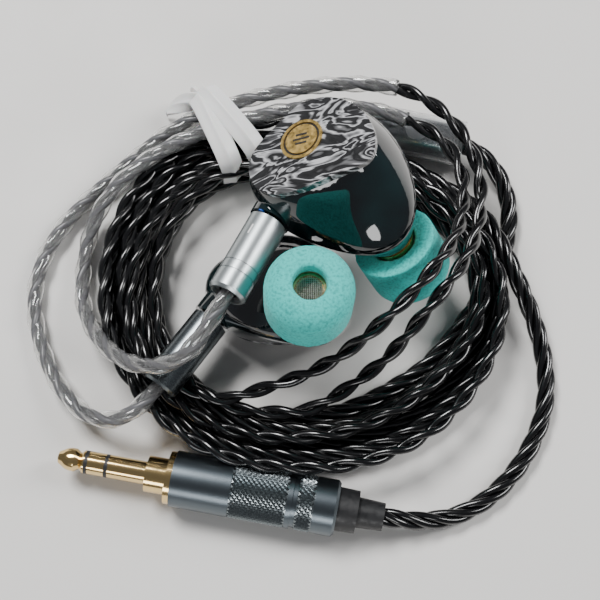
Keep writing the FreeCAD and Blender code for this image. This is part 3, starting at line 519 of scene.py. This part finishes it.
for side, normal in FACE_NORMALS.items():
    low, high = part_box(side + "_badge")
    centre = (low + high) / 2
    bpy.ops.mesh.primitive_cylinder_add(vertices=72, radius=BADGE_RADIUS, depth=0.0006)
    badge = bpy.context.object
    badge.name = side + "_badge_disc"
    badge.data.materials.append(badge_gold)
    badge.data.materials.append(badge_dark)
    bpy.ops.object.mode_set(mode="EDIT")
    bpy.ops.mesh.select_all(action="DESELECT")
    bpy.ops.object.mode_set(mode="OBJECT")
    for face in badge.data.polygons:
        face.select = face.normal.z > 0.9
    bpy.ops.object.mode_set(mode="EDIT")
    for rim in (0.00045, 0.00035, 0.0009):
        bpy.ops.mesh.inset(thickness=rim)
    bpy.ops.object.mode_set(mode="OBJECT")
    ring_low, ring_high = BADGE_RADIUS - 0.0008, BADGE_RADIUS - 0.00045
    press_in(badge, lambda f: f.normal.z > 0.9 and ring_low < f.center.xy.length < ring_high
             and len(f.vertices) == 4, 0.00002, BADGE_SINK)
    stand_on(badge, centre + normal * 0.00005, normal)
    bpy.ops.object.shade_smooth_by_angle(angle=math.radians(30))
    badge.select_set(False)
    bars = []
    for shift, half in ((-0.00075, 0.0009), (0.0, 0.0013), (0.00075, 0.0009)):
        bpy.ops.mesh.primitive_cube_add(size=1.0, location=(0, shift, 0.00030))
        bar = bpy.context.object
        bar.scale = (2 * half, 0.00034, 0.00014)
        bpy.ops.object.transform_apply(location=True, rotation=True, scale=True)
        round_off = bar.modifiers.new("round_off", "BEVEL")
        round_off.width = 0.00006
        round_off.segments = 2
        bpy.ops.object.modifier_apply(modifier="round_off")
        bar.data.materials.append(badge_dark)
        bars.append(bar)
    for bar in bars:
        bar.select_set(True)
    bpy.context.view_layer.objects.active = bars[0]
    bpy.ops.object.join()
    motif = bpy.context.object
    motif.name = side + "_badge_bars"
    stand_on(motif, centre + normal * 0.00005, normal)
    motif.select_set(False)
    for piece in (badge, motif):
        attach(piece, side + "_earpiece")
    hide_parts(side + "_badge")

# ---- Nozzles and their mesh ---------------------------------------------------------------
# Turned brass nozzles with a wide flange. A disc of woven steel wire closes the bore.
nozzle_brass, brass_shader = new_finish("nozzle_turned_brass", (0.78, 0.60, 0.30), 0.16, 1.0)
mesh_steel, steel_shader = new_finish("nozzle_mesh_steel", (0.75, 0.73, 0.70), 0.25, 1.0)
add_grain(mesh_steel, steel_shader, 2500.0, 0.2, 0.4, 0.00001)
NOZZLE_AXES = {"left": Vector((0.4477, -0.3508, -0.8225)), "right": Vector((0.0205, 0.0502, 0.9985))}
add_grain(nozzle_brass, brass_shader, 900.0, 0.12, 0.28, 0.00001, NOZZLE_AXES["left"], 6.0)
MESH_RADIUS = 0.002
MESH_CELLS = 14
WIRE = 0.0001
for side, axis in NOZZLE_AXES.items():
    dressed(side + "_nozzle", nozzle_brass, 30.0)
    low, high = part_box(side + "_nozzle_mesh")
    bpy.ops.mesh.primitive_grid_add(x_subdivisions=MESH_CELLS, y_subdivisions=MESH_CELLS,
                                    size=2 * MESH_RADIUS)
    gauze = bpy.context.object
    gauze.name = side + "_wire_mesh"
    bpy.ops.object.mode_set(mode="EDIT")
    bpy.ops.mesh.select_all(action="DESELECT")
    bpy.ops.object.mode_set(mode="OBJECT")
    for face in gauze.data.polygons:
        face.select = face.center.length > MESH_RADIUS
    bpy.ops.object.mode_set(mode="EDIT")
    bpy.ops.mesh.delete(type="FACE")
    bpy.ops.object.mode_set(mode="OBJECT")
    wires = gauze.modifiers.new("wires", "WIREFRAME")
    wires.thickness = WIRE
    bpy.ops.object.modifier_apply(modifier="wires")
    gauze.data.materials.append(mesh_steel)
    stand_on(gauze, (low + high) / 2, axis.normalized())
    gauze.select_set(False)
    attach(gauze, side + "_earpiece")
    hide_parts(side + "_nozzle_mesh")

# ---- Foam tips ----------------------------------------------------------------------------
# Slow-recovery foam, cut and dyed turquoise. Its open cells show as fine pits, and its colour is darkened
# where the grain's bump is low: painted shade in the cells.
FOAM_VOXEL = 0.00022
FOAM_PIT = 0.00005                # depth of the foam's open cells
FOAM_PITS_PER_METRE = 1600.0
foam, foam_shader = new_finish("ear_tip_foam", (0.07, 0.60, 0.53), 0.85)
foam_shader.inputs["Subsurface Weight"].default_value = 0.12
foam_shader.inputs["Subsurface Radius"].default_value = (0.4, 0.9, 0.8)
foam_shader.inputs["Subsurface Scale"].default_value = 0.001
foam_shader.inputs["Sheen Weight"].default_value = 0.1
grain = add_grain(foam, foam_shader, 2600.0, 0.75, 0.95, 0.00012)
# Darker turquoise where the grain's bump is low: painted shade in the open cells.
foam_cell_shade = foam.node_tree.nodes.new("ShaderNodeValToRGB")
foam_cell_shade.color_ramp.elements[0].position = 0.30
foam_cell_shade.color_ramp.elements[0].color = (0.012, 0.34, 0.31, 1.0)
foam_cell_shade.color_ramp.elements[1].position = 0.55
foam_cell_shade.color_ramp.elements[1].color = (0.034, 0.58, 0.53, 1.0)
foam.node_tree.links.new(grain.outputs["Fac"], foam_cell_shade.inputs["Fac"])
foam.node_tree.links.new(foam_cell_shade.outputs["Color"], foam_shader.inputs["Base Color"])
core_plastic, core_shader = new_finish("tip_core_plastic", (0.35, 0.36, 0.36), 0.4)
add_grain(core_plastic, core_shader, 800.0, 0.3, 0.5, 0.00002)
for side in ("left", "right"):
    tip = dressed(side + "_foam_tip", foam, 60.0)
    bpy.context.view_layer.objects.active = tip
    tip.select_set(True)
    skin = tip.modifiers.new("skin", "REMESH")
    skin.mode = "VOXEL"
    skin.voxel_size = FOAM_VOXEL
    bpy.ops.object.modifier_apply(modifier="skin")
    for vertex in tip.data.vertices:
        place = vertex.co * FOAM_PITS_PER_METRE
        dip = noise.noise(place) + 0.6 * noise.noise(place * 2.3)
        vertex.co -= vertex.normal * FOAM_PIT * max(dip, -0.2)
    bpy.ops.object.shade_smooth()
    tip.select_set(False)
    dressed(side + "_tip_core", core_plastic, 30.0)

# ---- Two-pin connectors -------------------------------------------------------------------
# Turned aluminium barrels over black inserts with two gold pins. The left barrel is satin
# silver and the right one dark grey; a coloured dot and a small printed mark tell them apart.
LEFT_AXIS = Vector((0.4537, 0.8814, -0.1314))
RIGHT_AXIS = Vector((0.5903, 0.8056, -0.0507))
barrel_silver, silver_shader = new_finish("connector_satin_silver", (0.47, 0.51, 0.52), 0.34, 1.0)
add_grain(barrel_silver, silver_shader, 3000.0, 0.32, 0.40, 0.000002, LEFT_AXIS, 8.0)
barrel_grey, dim_shader = new_finish("connector_satin_grey", (0.16, 0.18, 0.19), 0.28, 1.0)
add_grain(barrel_grey, dim_shader, 3000.0, 0.24, 0.32, 0.000002, RIGHT_AXIS, 8.0)
insert_plastic, insert_shader = new_finish("connector_insert_black", (0.012, 0.012, 0.013), 0.4)
add_grain(insert_plastic, insert_shader, 900.0, 0.3, 0.5, 0.00002)
pin_gold, pin_shader = new_finish("contact_gold_plate", (0.90, 0.62, 0.22), 0.15, 1.0)
add_grain(pin_gold, pin_shader, 1200.0, 0.1, 0.22, 0.00001)
mark_blue, blue_shader = new_finish("channel_dot_blue", (0.02, 0.12, 0.55), 0.35)
add_grain(mark_blue, blue_shader, 1200.0, 0.3, 0.4, 0.00001)
mark_red, red_shader = new_finish("channel_dot_red", (0.55, 0.02, 0.02), 0.35)
add_grain(mark_red, red_shader, 1200.0, 0.3, 0.4, 0.00001)
for side, barrel, dot in (("left", barrel_silver, mark_blue), ("right", barrel_grey, mark_red)):
    dressed(side + "_connector_barrel", barrel, 25.0)
    dressed(side + "_connector_insert", insert_plastic, 25.0)
    dressed(side + "_connector_pins", pin_gold, 25.0)
    dressed(side + "_cable_grip", insert_plastic, 25.0)
    dressed(side + "_socket", insert_plastic, 25.0)
    dressed(side + "_channel_mark", dot, 25.0)

# A short white line printed near the earpiece end of the left barrel shows which way it goes.
mark_white, white_shader = new_finish("channel_mark_white", (0.80, 0.80, 0.80), 0.5)
add_grain(mark_white, white_shader, 1500.0, 0.45, 0.6, 0.00001)
CONNECTOR_RADIUS = 0.0029
bpy.ops.mesh.primitive_cube_add(size=1.0)
stroke = bpy.context.object
stroke.name = "left_barrel_mark"
stroke.scale = (0.0016, 0.00026, 0.00004)
bpy.ops.object.transform_apply(location=True, rotation=True, scale=True)
soften = stroke.modifiers.new("soften", "BEVEL")
soften.width = 0.00001
bpy.ops.object.modifier_apply(modifier="soften")
along = LEFT_AXIS.normalized()
outward = Vector((-0.55, 0.0, 1.0))
outward = (outward - along * outward.dot(along)).normalized()
facing = Matrix((along, outward.cross(along), outward)).transposed().to_4x4()
stroke.data.transform(Matrix.Translation(LEFT_EXIT + along * 0.0098 + outward * CONNECTOR_RADIUS) @ facing)
stroke.data.materials.append(mark_white)
stroke.select_set(False)
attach(stroke, "cable_assembly")

# ---- Splitter and chin slider -------------------------------------------------------------
# A turned gunmetal barrel where the two ear cables join the main cable, with a small inlaid
# disc, and a clear plastic tube that slides over it and up the ear cables.
splitter_metal, splitter_shader = new_finish("splitter_gunmetal", (0.20, 0.21, 0.22), 0.26, 1.0)
add_grain(splitter_metal, splitter_shader, 3000.0, 0.24, 0.32, 0.000002, SPLITTER_AXIS, 8.0)
splitter_disc, disc_shader = new_finish("splitter_disc_satin", (0.50, 0.51, 0.52), 0.35, 1.0)
add_grain(splitter_disc, disc_shader, 1200.0, 0.3, 0.42, 0.00001)
slider_clear, slider_shader = new_finish("slider_clear_plastic", (0.93, 0.94, 0.95), 0.08)
slider_shader.inputs["Transmission Weight"].default_value = 0.93
slider_shader.inputs["IOR"].default_value = 1.49
add_grain(slider_clear, slider_shader, 500.0, 0.04, 0.14, 0.00001)
dressed("splitter_barrel", splitter_metal, 25.0)
dressed("splitter_cap", splitter_metal, 25.0)
dressed("splitter_badge", splitter_disc, 25.0)
dressed("splitter_joint", insert_plastic, 25.0)
dressed("chin_slider", slider_clear, 25.0)

# ---- Plug ---------------------------------------------------------------------------------
# A gold-plated three-contact plug in a dark anodised barrel. Two diamond-knurled bands are
# rolled into the barrel, and a moulded black strain relief steps down to the cable.
plug_metal, plug_shader = new_finish("plug_anodised_gunmetal", (0.115, 0.135, 0.150), 0.3, 1.0)
add_grain(plug_metal, plug_shader, 3000.0, 0.28, 0.36, 0.000002, PLUG_AXIS, 8.0)
plug_gold, plug_gold_shader = new_finish("plug_gold_plate", (0.86, 0.62, 0.28), 0.14, 1.0)
add_grain(plug_gold, plug_gold_shader, 2500.0, 0.1, 0.18, 0.000002, PLUG_AXIS, 6.0)
relief_rubber, relief_shader = new_finish("strain_relief_black", (0.010, 0.010, 0.011), 0.45)
add_grain(relief_rubber, relief_shader, 1500.0, 0.38, 0.58, 0.00003)
plug_pieces = [dressed(part, plug_gold, 25.0)
               for part in ("plug_tip", "plug_ring", "plug_sleeve", "plug_collar")]
KNURL_BANDS = {"plug_barrel": ("knurl_wide", 0.0270, 0.0086),
               "plug_rear_collar": ("knurl_narrow", 0.0370, 0.0026)}
KNURL_SEAT = 0.00400              # radius of the barrel under the knurl
SEAT_EDGE = 0.00002               # length of the step down to it
for part, (name, start, length) in KNURL_BANDS.items():
    body = dressed(part, plug_metal, 25.0)
    bpy.context.view_layer.objects.active = body
    body.select_set(True)
    for along in (start, start + SEAT_EDGE, start + length - SEAT_EDGE, start + length):
        bpy.ops.object.mode_set(mode="EDIT")
        bpy.ops.mesh.select_all(action="SELECT")
        bpy.ops.mesh.bisect(plane_co=on_plug(along), plane_no=PLUG_AXIS, threshold=1e-7)
        bpy.ops.object.mode_set(mode="OBJECT")
    for vertex in body.data.vertices:
        along = (vertex.co - PLUG_TIP_END).dot(PLUG_AXIS)
        out = vertex.co - on_plug(along)
        if start + SEAT_EDGE / 2 < along < start + length - SEAT_EDGE / 2 and out.length > KNURL_SEAT:
            vertex.co = on_plug(along) + out.normalized() * KNURL_SEAT
    bpy.ops.object.shade_smooth_by_angle(angle=math.radians(25))
    body.select_set(False)
    plug_pieces.append(body)
for part in ("plug_insulators", "plug_strain_relief"):
    plug_pieces.append(dressed(part, relief_rubber, 25.0))
KNURL_ROOT = 0.00405
KNURL_TIP = 0.00026               # height of a diamond
KNURL_COLUMNS = 34
knurl_metal, knurl_shader = new_finish("plug_knurl_gunmetal", (0.20, 0.225, 0.235), 0.28, 1.0)
add_grain(knurl_metal, knurl_shader, 2500.0, 0.24, 0.36, 0.000003)
for name, start, length in KNURL_BANDS.values():
    pitch = 2 * math.pi * KNURL_ROOT / KNURL_COLUMNS
    rows = round(length / pitch)
    bpy.ops.mesh.primitive_grid_add(x_subdivisions=KNURL_COLUMNS, y_subdivisions=rows, size=1.0)
    band = bpy.context.object
    band.name = "plug_" + name
    work = bmesh.new()
    work.from_mesh(band.data)
    old_edges = list(work.edges)
    bmesh.ops.poke(work, faces=work.faces[:])
    inner = [edge for edge in old_edges if edge.is_valid and len(edge.link_faces) == 2]
    bmesh.ops.dissolve_edges(work, edges=inner, use_verts=False)
    diamonds = [face for face in work.faces if len(face.verts) == 4]
    tops = bmesh.ops.poke(work, faces=diamonds)["verts"]
    for vertex in work.verts:
        turn = 2 * math.pi * (vertex.co.x + 0.5)
        along = start + (vertex.co.y + 0.5) * length
        radius = KNURL_ROOT + (KNURL_TIP if vertex in tops else 0.0)
        vertex.co = Vector((along, radius * math.cos(turn), radius * math.sin(turn)))
    bmesh.ops.remove_doubles(work, verts=work.verts[:], dist=1e-6)
    bmesh.ops.recalc_face_normals(work, faces=work.faces[:])
    work.to_mesh(band.data)
    work.free()
    band.data.transform(Matrix.Translation(PLUG_TIP_END) @ Matrix.Rotation(PLUG_ANGLE, 4, "Z"))
    band.data.materials.append(knurl_metal)
    band.select_set(False)
    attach(band, "cable_assembly")
    plug_pieces.append(band)
plug_pieces += [nodes["plug_cable_clamp"], nodes["plug_terminals"]]

# ---- Twist tie ----------------------------------------------------------------------------
# A flat white plastic tie with a wire inside, wound twice round the coil and the hooks. Its
# two ends stick out on the outer side.
TIE_MIDDLE = Vector((-0.0152, 0.0196, 0.0))
TIE_TURN = math.radians(32.0)
TIE_SHIFT = 0.0013
TIE_SPAN = 0.0140
TIE_HEIGHT = 0.0099
TIE_WIDTH = 0.0036
TIE_THICK = 0.0005
TIE_STEPS = 72
TIE_SQUARENESS = 0.6              # 1 is an oval winding, less is squarer
TIE_CROWN = 0.0005                # how far the strip bulges, and its wire rib above that
TIE_RIB = 0.0003
TIE_LOWEST = 0.0012              # keeps the crowned band above the table
tie_along = Vector((math.cos(TIE_TURN), math.sin(TIE_TURN), 0.0))
tie_across = Vector((-math.sin(TIE_TURN), math.cos(TIE_TURN), 0.0))
tie_white, tie_shader = new_finish("twist_tie_white", (0.78, 0.78, 0.77), 0.4)
tie_shader.inputs["Subsurface Weight"].default_value = 0.1
tie_shader.inputs["Subsurface Scale"].default_value = 0.0005
add_grain(tie_white, tie_shader, 500.0, 0.3, 0.5, 0.00005)


def ribbon(name, line, wide):
    """A flat strip along a line, with a raised wire rib down its middle."""
    corners, faces = [], []
    profile = (-0.5, -0.42, -0.3, -0.16, -0.06, 0.0, 0.06, 0.16, 0.3, 0.42, 0.5)
    for index, (place, width, out) in enumerate(line):
        for share in profile:
            crown = TIE_CROWN * (1.0 - 4.0 * share * share)
            rib = TIE_RIB * max(0.0, 1.0 - abs(share) * 8.0)
            corners.append(place + width * share * wide + out * (crown + rib))
    count = len(profile)
    for index in range(len(line) - 1):
        for step in range(count - 1):
            low = index * count + step
            faces.append((low, low + 1, low + 1 + count, low + count))
    mesh = bpy.data.meshes.new(name)
    mesh.from_pydata(corners, [], faces)
    piece = bpy.data.objects.new(name, mesh)
    bpy.context.scene.collection.objects.link(piece)
    bpy.context.view_layer.objects.active = piece
    piece.select_set(True)
    wall = piece.modifiers.new("wall", "SOLIDIFY")
    wall.thickness = TIE_THICK
    wall.offset = 0.0
    bpy.ops.object.modifier_apply(modifier="wall")
    round_off = piece.modifiers.new("round_off", "BEVEL")
    round_off.width = 0.00012
    round_off.segments = 2
    bpy.ops.object.modifier_apply(modifier="round_off")
    bpy.ops.object.shade_smooth_by_angle(angle=math.radians(40))
    piece.data.materials.append(tie_white)
    piece.select_set(False)
    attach(piece, "cable_assembly")
    return piece


for name, tilt, shift, grow in (
        ("tie_winding_lower", 0.13, -0.0013, 0.0), ("tie_winding_upper", -0.12, 0.0017, 0.0005)):
    line = []
    for step in range(TIE_STEPS + 1):
        turn = 2 * math.pi * step / TIE_STEPS
        flat = math.copysign(abs(math.cos(turn)) ** TIE_SQUARENESS, math.cos(turn))
        tall = math.copysign(abs(math.sin(turn)) ** TIE_SQUARENESS, math.sin(turn))
        side = (TIE_SPAN / 2 - 0.0004 + grow) * flat
        up = TIE_HEIGHT / 2 + (TIE_HEIGHT / 2 - 0.0005 + grow * 0.6) * tall
        out = (tie_across * math.cos(turn) + Vector((0, 0, math.sin(turn)))).normalized()
        place = TIE_MIDDLE + tie_across * (TIE_SHIFT + side) + Vector((0, 0, max(up, TIE_LOWEST)))
        place += tie_along * (shift + tilt * side)
        line.append((place, tie_along, out))
    ribbon(name, line, TIE_WIDTH)
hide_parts("twist_tie")
for name, heading, reach in (("tie_tail_long", Vector((-0.97, -0.22, 0.0)), 0.0060),
                             ("tie_tail_short", Vector((-0.45, 0.60, 0.0)), 0.0034)):
    line = []
    root = TIE_MIDDLE + tie_across * (TIE_SHIFT + TIE_SPAN / 2) + Vector((0, 0, 0.0062))
    for step in range(15):
        done = step / 14
        turn = done * 2.2 * math.pi
        width = (Vector((0, 0, math.cos(turn * 0.4))) + tie_across * math.sin(turn * 0.4)).normalized()
        place = root + heading * reach * done - Vector((0, 0, 0.0042 * done * done))
        line.append((place, width, width.cross(heading)))
    ribbon(name, line, TIE_WIDTH * 0.8)

# ---- Works inside the earpieces and the plug ----------------------------------------------
# The drivers, their crossover board and the plug's contacts are hidden by the shells and the
# barrel, and keep plain workshop finishes.
works = {
    "driver_frame": ((0.30, 0.30, 0.31), 0.35, 1.0), "driver_magnet": ((0.25, 0.25, 0.26), 0.3, 1.0),
    "diaphragm": ((0.55, 0.52, 0.45), 0.25, 0.0), "driver_baffle": ((0.05, 0.05, 0.055), 0.6, 0.0),
    "armature_driver": ((0.62, 0.62, 0.62), 0.22, 1.0), "crossover_board": ((0.02, 0.15, 0.05), 0.4, 0.0)}
for part, (colour, roughness, metal) in works.items():
    finish, shader = new_finish("works_" + part, colour, roughness, metal)
    add_grain(finish, shader, 900.0, roughness * 0.8, roughness * 1.2, 0.00001)
    for side in ("left", "right"):
        nodes[side + "_" + part].data.materials.clear()
        nodes[side + "_" + part].data.materials.append(finish)
for part in ("plug_cable_clamp", "plug_terminals"):
    nodes[part].data.materials.clear()
    nodes[part].data.materials.append(pin_gold)

# ---- Table and light ----------------------------------------------------------------------
# A plain pale table top, lit by a wide soft source overhead and a smaller one to the side.
bpy.ops.mesh.primitive_plane_add(size=3.0, location=(0, 0, 0))
table = bpy.context.object
table.name = "table_top"
table_pale, table_shader = new_finish("table_pale", (0.74, 0.725, 0.70), 0.6)
add_grain(table_pale, table_shader, 60.0, 0.5, 0.7, 0.00002)
table.data.materials.append(table_pale)
table.select_set(False)


def soft_light(name, place, aim, size, power):
    lamp = bpy.data.lights.new(name, "AREA")
    lamp.shape = "RECTANGLE"
    lamp.size, lamp.size_y = size
    lamp.energy = power
    holder = bpy.data.objects.new(name, lamp)
    holder.location = place
    holder.rotation_euler = (Vector(aim) - Vector(place)).to_track_quat("-Z", "Y").to_euler()
    bpy.context.scene.collection.objects.link(holder)


soft_light("overhead_panel", (-0.35, 0.45, 0.85), (0, 0, 0), (0.40, 0.30), 13.0)
soft_light("window", (0.60, 0.20, 0.50), (0, 0, 0), (0.18, 0.45), 4.5)
soft_light("front_fill", (-0.15, -0.85, 0.45), (0, 0, 0), (0.5, 0.25), 3.0)
world = bpy.data.worlds.new("room")
world.use_nodes = True
world.node_tree.nodes["Background"].inputs["Color"].default_value = (0.9, 0.93, 1.0, 1.0)
world.node_tree.nodes["Background"].inputs["Strength"].default_value = 0.16
bpy.context.scene.world = world
